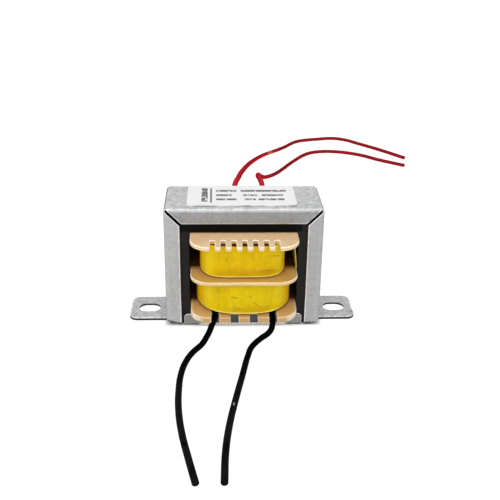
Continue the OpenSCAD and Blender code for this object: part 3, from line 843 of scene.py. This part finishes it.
def rounded(corners, limit=0.0):
    """Closed outline through right-angled corners, each rounded; large corners start beyond the limit."""
    points = []
    for k, (x, y, radius) in enumerate(corners):
        here = np.array((x, y))
        to_last = np.array(corners[k - 1][:2]) - here
        to_next = np.array(corners[(k + 1) % len(corners)][:2]) - here
        to_last = to_last / np.linalg.norm(to_last)
        to_next = to_next / np.linalg.norm(to_next)
        middle = here + radius * (to_last + to_next)
        for turn in np.linspace(0, np.pi / 2, 6 + round(6 * radius)):
            point = middle - radius * (to_next * np.cos(turn) + to_last * np.sin(turn))
            if radius > 1 and abs(point[0]) < limit:
                continue
            if not points or np.linalg.norm(point - points[-1]) > 0.001:
                points.append(point)
    return np.array(points)


def inset(outline, by):
    ahead = np.roll(outline, -1, axis=0) - outline
    behind = np.roll(ahead, 1, axis=0)
    ahead = ahead / np.linalg.norm(ahead, axis=1)[:, None]
    behind = behind / np.linalg.norm(behind, axis=1)[:, None]
    along = ahead + behind
    along = along / np.linalg.norm(along, axis=1)[:, None]
    stretch = 1 / np.maximum((along * ahead).sum(axis=1), 0.5)
    inward = np.column_stack([-along[:, 1], along[:, 0]])
    return outline + inward * (by * stretch)[:, None]


def plate(outline, low, high, soft=0.0):
    """A closed plate with soft edges, by one radius or one for each point."""
    count = len(outline)
    soft = np.broadcast_to(soft, count)
    profile = []
    for turn in np.linspace(0, np.pi / 2, 5 if soft.any() else 1):
        profile.append((soft * (1 - np.sin(turn)), low + soft * (1 - np.cos(turn))))
    profile += [(by, low + high - z) for by, z in reversed(profile)]
    rows = [np.column_stack([inset(outline, by), z]) for by, z in profile]
    faces = []
    for k in range(len(rows) - 1):
        for i in range(count):
            a = k * count + i
            b = k * count + (i + 1) % count
            faces.append((a, b, b + count, a + count))
    last = (len(rows) - 1) * count
    faces.append(tuple(range(count)))
    faces.append(tuple(range(last, last + count)))
    return np.concatenate(rows), faces


def combine(piece, operation, points, faces):
    """Joins a plate to a piece, or cuts it out of the piece."""
    other = add_piece("other", points, faces)
    step = piece.modifiers.new("combine", "BOOLEAN")
    step.operation = operation
    step.solver = "EXACT"
    step.object = other
    graph = bpy.context.evaluated_depsgraph_get()
    mesh = bpy.data.meshes.new_from_object(piece.evaluated_get(graph))
    piece.modifiers.clear()
    piece.data = mesh
    bpy.data.objects.remove(other)


def add_bobbin():
    top_edge = comb_corners(TOP_COMB)
    top = rounded(top_edge + turned(top_edge), comb_limit(TOP_COMB))
    divider = rounded(rectangle(FLANGE_W, DIVIDER_D, FLANGE_R))
    bottom_edge = comb_corners(BOTTOM_COMB)
    back = [(FLANGE_W / 2, -STACK_HALF, BACK_R), (-FLANGE_W / 2, -STACK_HALF, BACK_R)]
    comb = rounded(bottom_edge + back, comb_limit(BOTTOM_COMB))
    comb_soft = np.where(comb[:, 1] < -STACK_HALF - BACK_STRIP, SOFT_EDGE, BACK_SOFT)
    plates = [
        plate(top, *TOP_LEVELS, SOFT_EDGE),
        plate(divider, *DIVIDER_LEVELS, SOFT_EDGE),
        plate(rounded(rectangle(*SEAT, PLAIN_R)), *SEAT_LEVELS),
        plate(comb, *COMB_LEVELS, comb_soft),
        plate(-comb, *COMB_LEVELS, comb_soft),
    ]
    window = rounded(rectangle(*WINDOW, PLAIN_R))
    plates += [plate(window, *levels) for levels in WINDOW_LEVELS]
    tube = rounded(rectangle(*TUBE_OUTER, TUBE_R))
    hole = rounded(rectangle(*TUBE_INNER, HOLE_R))
    bobbin = add_piece("bobbin_moulding", *plate(tube, *TUBE_LEVELS))
    for added in plates:
        combine(bobbin, "UNION", *added)
    combine(bobbin, "DIFFERENCE", *plate(hole, *HOLE_LEVELS))
    bobbin.data.materials.append(bobbin_face())
    bobbin.data.set_sharp_from_angle(angle=SHARP_ABOVE)
    whole_flats(bobbin)
    even_shading(bobbin)
    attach(bobbin, "root")
    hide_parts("bobbin")


add_bobbin()


# Tapes: closed rings of film with layer ends, pulled bands and creases
OUTLINE_POINTS = 20001
FOLD_WIDTH = 0.2
FOLD_RISE = 0.11
FOLD_ENDS = (0.06, 0.94)
FOLD_FADE = 0.6
SMALL_FOLDS = 12
SMALL_WIDTH = 0.25
SMALL_SIDE = 11
SMALL_MARGINS = (0.6, 0.8)
SMALL_LEAN = 0.5
SMALL_REACH = (0.4, 1.3)
SMALL_DEPTH = (0.1, 0.3)
WAVE_LEAN = 0.1
WAVES = (7, 12, 19, 31)
WAVE_RISE = 0.12
LOW_RISE = 0.05
LOW_REACH = 0.3
EDGE_DIP = 0.12
EDGE_REACH = 0.07
EDGE_STEP = 0.03
SEAM_WIDTH = 0.3
UPPER_SEED = 5
LOWER_SEED = 8


def crease(u, z, line, width):
    """A fold along a line of points: 1 on the line, fading to the sides and towards both ends."""
    total = np.zeros_like(u)
    last = len(line) - 1
    for k, (start, end) in enumerate(zip(line, line[1:])):
        run_u = end[0] - start[0]
        run_z = end[1] - start[1]
        share = ((u - start[0]) * run_u + (z - start[1]) * run_z) / (run_u ** 2 + run_z ** 2)
        share = np.clip(share, 0, 1)
        away = (u - start[0] - share * run_u) ** 2 + (z - start[1] - share * run_z) ** 2
        fade = np.sin(np.pi * np.clip((k + share) / last, *FOLD_ENDS)) ** FOLD_FADE
        total = np.maximum(total, fade * np.exp(-away / width ** 2))
    return total


def wrap_outline(tape):
    """Once round a squared ellipse, finer at the front: places, outward directions, runs from the front."""
    half_x, half_y = tape["half"]
    power = tape["power"]
    turn = np.linspace(0.5 * np.pi, 2.5 * np.pi, OUTLINE_POINTS)
    x = half_x * np.sign(np.cos(turn)) * np.abs(np.cos(turn)) ** (2 / power)
    y = half_y * np.sign(np.sin(turn)) * np.abs(np.sin(turn)) ** (2 / power)
    run = np.concatenate([[0], np.cumsum(np.hypot(np.diff(x), np.diff(y)))])
    whole = run[-1]
    front = np.arange(-TAPE_FRONT, TAPE_FRONT, TAPE_STEP)
    count = round((whole - 2 * TAPE_FRONT) / TAPE_SIDE_STEP)
    rest = TAPE_FRONT + (whole - 2 * TAPE_FRONT) * np.arange(count) / count
    u = np.concatenate([front, rest])
    even = (u + np.interp(1.5 * np.pi, turn, run)) % whole
    x = np.interp(even, run, x)
    y = np.interp(even, run, y)
    out_x = np.sign(x) * np.abs(x / half_x) ** (power - 1) / half_x
    out_y = np.sign(y) * np.abs(y / half_y) ** (power - 1) / half_y
    long = np.hypot(out_x, out_y)
    return x + tape["shift"], y, out_x / long, out_y / long, u, whole


def film_folds(u, z, tape, rng):
    """How strongly the film is creased at each place, from 0 to 1."""
    folds = np.zeros_like(u)
    for line in tape["creases"]:
        folds = np.maximum(folds, crease(u, z, line, FOLD_WIDTH))
    lowest = tape["low"] + SMALL_MARGINS[0]
    highest = tape["high"] - SMALL_MARGINS[1]
    for k in range(SMALL_FOLDS):
        place = rng.uniform(-SMALL_SIDE, SMALL_SIDE)
        level = rng.uniform(lowest, highest)
        rise = rng.uniform(-SMALL_LEAN, SMALL_LEAN)
        reach = rng.uniform(*SMALL_REACH)
        line = [(place - reach, level - rise * reach), (place + reach, level + rise * reach)]
        folds = np.maximum(folds, rng.uniform(*SMALL_DEPTH) * crease(u, z, line, SMALL_WIDTH))
    return folds


def film_relief(u, z, whole, tape, folds, rng):
    """Height of the film over its plain outline, in millimetres."""
    low, high = tape["low"], tape["high"]
    relief = FOLD_RISE * folds
    for waves in WAVES:
        phase = rng.uniform(0, math.tau)
        lean = rng.uniform(-WAVE_LEAN, WAVE_LEAN)
        relief += WAVE_RISE / waves * np.sin(math.tau * waves * (u + lean * (z - low)) / whole + phase)
    past_end = (u - tape["layer_end"]) / (whole - TAPE_FRONT - tape["layer_end"])
    relief += LAYER * np.where(past_end < 0, 1, past_end)
    relief += LOW_RISE * np.exp(-((z - low) / LOW_REACH) ** 2)
    edge = np.minimum(z - low, high - z)
    return relief - EDGE_DIP * np.exp(-(edge / EDGE_REACH) ** 2)


def ring_faces(rows, columns):
    index = np.arange(rows * columns).reshape(rows, columns)
    ahead = np.roll(index, -1, axis=1)
    quads = np.stack([index, ahead, np.roll(ahead, -1, axis=0), np.roll(index, -1, axis=0)], -1)
    return quads.reshape(-1, 4).tolist()


def shell_faces(rows, columns, first):
    """Faces of a closed sheet: a top grid, a bottom grid after it, and walls between their borders."""
    top = first + np.arange(rows * columns).reshape(rows, columns)
    bottom = top + rows * columns
    faces = []
    for grid in (top, bottom):
        quads = np.stack([grid[:-1, :-1], grid[:-1, 1:], grid[1:, 1:], grid[1:, :-1]], -1)
        faces += quads.reshape(-1, 4).tolist()
    for pick in (np.s_[0, :], np.s_[-1, :], np.s_[:, 0], np.s_[:, -1]):
        above = top[pick]
        below = bottom[pick]
        walls = np.stack([above[:-1], above[1:], below[1:], below[:-1]], -1)
        faces += walls.tolist()
    return faces


def tape_ring(tape, seed):
    """Points, faces and fold marks of one ring of film."""
    rng = np.random.default_rng(seed)
    x, y, out_x, out_y, run, whole = wrap_outline(tape)
    low, high = tape["low"], tape["high"]
    levels = np.linspace(low, high, round((high - low) / TAPE_STEP) + 1)
    levels = np.sort(np.concatenate([levels, [low + EDGE_STEP, high - EDGE_STEP]]))
    u, z = np.meshgrid(run, levels)
    folds = film_folds(u, z, tape, rng)
    over = film_relief(u, z, whole, tape, folds, rng)
    outer = np.stack([x + out_x * over, y + out_y * over, z], -1)
    inner = np.zeros((3, len(x), 3))
    inner[..., 0] = x - out_x * TAPE_T
    inner[..., 1] = y - out_y * TAPE_T
    inner[..., 2] = np.array([high, 0.5 * (low + high), low])[:, None]
    rows = np.concatenate([outer, inner])
    seams = np.zeros_like(u)
    for place, strength in tape["seams"]:
        seams = np.maximum(seams, strength * np.exp(-((u - place) / SEAM_WIDTH) ** 2))
    marks = np.stack([folds, seams], -1)
    marks = np.concatenate([marks, np.zeros((3, len(x), 2))])
    return rows.reshape(-1, 3), ring_faces(*rows.shape[:2]), marks.reshape(-1, 2)


LOOSE_FROM = 9.0
LOOSE_RUN = 13.0
LOOSE_TIP = -8.5
LOOSE_NEAR = 8.45
LOOSE_FAR = 12.12
LOOSE_T = 0.1
LOOSE_GRID = (120, 40)
LOOSE_BEND = 4.0
LOOSE_MARGINS = (0.05, 0.1)
LOOSE_CUT = 0.9
LOOSE_LEAN = 0.75
LOOSE_CURL = 0.05
CURL_RATE = 5.5 / 3
CURL_TWIST = 2


def loose_end(first):
    """The film's free end: it leaves the ring at the rear right and springs towards the outer leg."""
    y = np.linspace(LOOSE_FROM, LOOSE_TIP, LOOSE_GRID[0])
    step = np.clip((LOOSE_FROM - y) / LOOSE_RUN, 0, 1)
    x = LOOSE_NEAR + (LOOSE_FAR - LOOSE_NEAR) * (1 - (1 - step) ** 3)
    free = np.clip((LOOSE_BEND - y) / (LOOSE_BEND - LOOSE_TIP), 0, 1)
    levels = np.linspace(0, 1, LOOSE_GRID[1])
    share, height = np.meshgrid(free, levels)
    low = UPPER_TAPE["low"] + LOOSE_MARGINS[0]
    high = UPPER_TAPE["high"] - LOOSE_MARGINS[1] - LOOSE_CUT * share ** 4
    z = low + (high - low) * height
    along = np.broadcast_to(y, z.shape)
    lean = -LOOSE_LEAN * share * height ** 2
    curl = LOOSE_CURL * np.sin(CURL_RATE * along + CURL_TWIST * height)
    side = x + lean + curl * share
    near = np.stack([side, along, z], -1)
    far = np.stack([side + LOOSE_T, along, z], -1)
    points = np.concatenate([near.reshape(-1, 3), far.reshape(-1, 3)])
    return points, shell_faces(*z.shape, first)


def add_film(name, node, points, faces, marks, look):
    piece = add_piece(name, points, faces)
    for k, mark in enumerate(("fold", "seam")):
        attribute = piece.data.attributes.new(mark, "FLOAT", "POINT")
        attribute.data.foreach_set("value", marks[:, k].copy())
    piece.data.materials.append(look)
    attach(piece, "root")
    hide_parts(node)


def add_tapes():
    points, faces, marks = tape_ring(UPPER_TAPE, UPPER_SEED)
    loose_points, loose_faces = loose_end(len(points))
    points = np.concatenate([points, loose_points])
    marks = np.concatenate([marks, np.zeros((len(loose_points), 2))])
    look = yellow_film("yellow_tape", UPPER_YELLOW, UPPER_TAPE["low"], UPPER_STAINS, UPPER_SPECK)
    add_film("upper_film", "primary_tape", points, faces + loose_faces, marks, look)
    look = yellow_film("yellow_tape_lower", LOWER_YELLOW, LOWER_TAPE["low"], LOWER_STAINS, LOWER_SPECK)
    add_film("lower_film", "secondary_tape", *tape_ring(LOWER_TAPE, LOWER_SEED), look)


add_tapes()

# Label: a thin sheet over the top and the rear bend, lifting a little along its front
LABEL_HALF = 12.65
LABEL_SHIFT = -0.4
LABEL_FRONT = -6.15
LABEL_TURN = 2.2
LABEL_R = 1.2
LABEL_T = 0.1
BEND_R = 0.9
REAR_Y = 8.2
LABEL_GRID = (150, 90)
LABEL_FINER = 1.3
LABEL_GAP = 0.004
LIFT = 0.07
LIFT_WAVES = [(0.05, 0.62, 0.8), (0.03, 1.7, 0.0)]
LIFT_REACH = 0.9


def label_path(run):
    """Point and upward direction at a run from the front edge, over the top and down the rear."""
    flat = REAR_Y - BEND_R - LABEL_FRONT
    arc = 0.5 * math.pi * BEND_R
    turn = np.clip((run - flat) / BEND_R, 0, 0.5 * math.pi)
    along = np.minimum(run, flat)
    down = np.maximum(run - flat - arc, 0)
    y = LABEL_FRONT + along + BEND_R * np.sin(turn)
    z = FRAME_TOP - BEND_R + BEND_R * np.cos(turn) - down
    return y, z, np.sin(turn), np.cos(turn)


def add_label():
    flat = REAR_Y - BEND_R - LABEL_FRONT
    full = flat + 0.5 * math.pi * BEND_R + LABEL_TURN - BEND_R - LABEL_T
    x = np.linspace(-LABEL_HALF, LABEL_HALF, LABEL_GRID[0])
    corner = np.clip(np.abs(x) - LABEL_HALF + LABEL_R, 0, LABEL_R)
    start = LABEL_R - np.sqrt(np.maximum(LABEL_R ** 2 - corner ** 2, 0))
    share = np.linspace(0, 1, LABEL_GRID[1])[:, None] ** LABEL_FINER
    run = start + (full - start) * share
    y, z, out_y, out_z = label_path(run)
    lifted = LIFT + sum(rise * np.sin(rate * x + phase) for rise, rate, phase in LIFT_WAVES)
    lift = LABEL_GAP + lifted * np.exp(-((run - start) / LIFT_REACH) ** 2)
    across = np.broadcast_to(x + LABEL_SHIFT, y.shape)
    bottom = np.stack([across, y + out_y * lift, z + out_z * lift], -1)
    top = np.stack([across, y + out_y * (lift + LABEL_T), z + out_z * (lift + LABEL_T)], -1)
    points = np.concatenate([top.reshape(-1, 3), bottom.reshape(-1, 3)])
    label = add_piece("label_sheet", points, shell_faces(*y.shape, 0))
    label.data.materials.append(paper())
    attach(label, "root")
    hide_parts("label")


add_label()

# Lead covers
red_left.data.materials.append(red_cover("red_pvc", RED_LEFT_SPOT, 1.0))
red_right.data.materials.append(red_cover("red_pvc_right", RED_RIGHT_SPOT, 0.3))
black_left.data.materials.append(black_cover("black_pvc", BLACK_LEFT_SPOT))
black_right.data.materials.append(black_cover("black_pvc_right", BLACK_RIGHT_SPOT))

# Floor and light, in metres; the border of the shadow under the frame is in millimetres
FLOOR_SIZE = 8
FLOOR_DROP = 0.00002
FLOOR_TONE = 0.92
FLOOR_GLOW = 0.924
FLOOR_SHARE = 0.7
SHADOW_HALF = (18.2, 8.0)
SHADOW_REACH = 1.0
WORLD_LIGHT = 0.28
LAMP_PLACE = (-0.06, -0.36, 0.5)
LAMP_AIM = (0, 0, 0.015)
LAMP_SIZE = 1.1
LAMP_POWER = 6.3


def seen_by_eye(nodes):
    """A mask of the rays that show the white surroundings."""
    paths = nodes.node("ShaderNodeLightPath").outputs
    bounced = nodes.math("MAXIMUM", paths["Is Glossy Ray"], paths["Is Transmission Ray"])
    return nodes.math("MAXIMUM", paths["Is Camera Ray"], bounced)


def open_ground(nodes):
    """Rises from nothing under the frame to one a little way outside it."""
    place = nodes.node("ShaderNodeTexCoord").outputs["Object"]
    edge = (SHADOW_HALF[0] * MM, SHADOW_HALF[1] * MM, 0)
    away = nodes.vector("SUBTRACT", nodes.vector("ABSOLUTE", place), edge)
    outside = nodes.vector("MAXIMUM", away, (0, 0, 0))
    inputs = {"Value": nodes.length(outside), "From Max": SHADOW_REACH * MM}
    return nodes.node("ShaderNodeMapRange", inputs).outputs[0]


def add_floor():
    """A pale floor that takes shadows, and glows for the eye outside the frame to show white."""
    bpy.ops.mesh.primitive_plane_add(size=FLOOR_SIZE, location=(0, 0, -FLOOR_DROP))
    floor = bpy.context.object
    floor.name = "floor"
    made = bpy.data.materials.new("floor")
    made.use_nodes = True
    nodes = Nodes(made.node_tree)
    nodes.tree.nodes.clear()
    shown = nodes.times(seen_by_eye(nodes), open_ground(nodes))
    tone = nodes.math("MULTIPLY_ADD", shown, -FLOOR_SHARE * FLOOR_TONE, FLOOR_TONE)
    diffuse = nodes.node("ShaderNodeBsdfDiffuse", {"Color": tone}).outputs[0]
    glow = nodes.node("ShaderNodeEmission", {"Strength": nodes.times(shown, FLOOR_GLOW)}).outputs[0]
    both = nodes.node("ShaderNodeAddShader", {0: diffuse, 1: glow}).outputs[0]
    nodes.node("ShaderNodeOutputMaterial", {"Surface": both})
    floor.data.materials.append(made)


def add_world():
    world = bpy.data.worlds.new("studio")
    bpy.context.scene.world = world
    world.use_nodes = True
    nodes = Nodes(world.node_tree)
    nodes.tree.nodes.clear()
    lit = nodes.node("ShaderNodeBackground", {"Color": grey(1), "Strength": WORLD_LIGHT}).outputs[0]
    shown = nodes.node("ShaderNodeBackground", {"Color": grey(1), "Strength": 1}).outputs[0]
    mix = nodes.node("ShaderNodeMixShader", {"Fac": seen_by_eye(nodes), 1: lit, 2: shown}).outputs[0]
    nodes.node("ShaderNodeOutputWorld", {"Surface": mix})


def add_lamp(name, place, aim, size, power):
    data = bpy.data.lights.new(name, "AREA")
    data.size = size
    data.energy = power
    lamp = bpy.data.objects.new(name, data)
    bpy.context.scene.collection.objects.link(lamp)
    lamp.location = place
    lamp.rotation_mode = "QUATERNION"
    lamp.rotation_quaternion = (Vector(place) - Vector(aim)).to_track_quat("Z", "Y")


add_floor()
add_world()
add_lamp("key", LAMP_PLACE, LAMP_AIM, LAMP_SIZE, LAMP_POWER)
bpy.context.scene.view_settings.view_transform = "Standard"

bpy.context.view_layer.update()
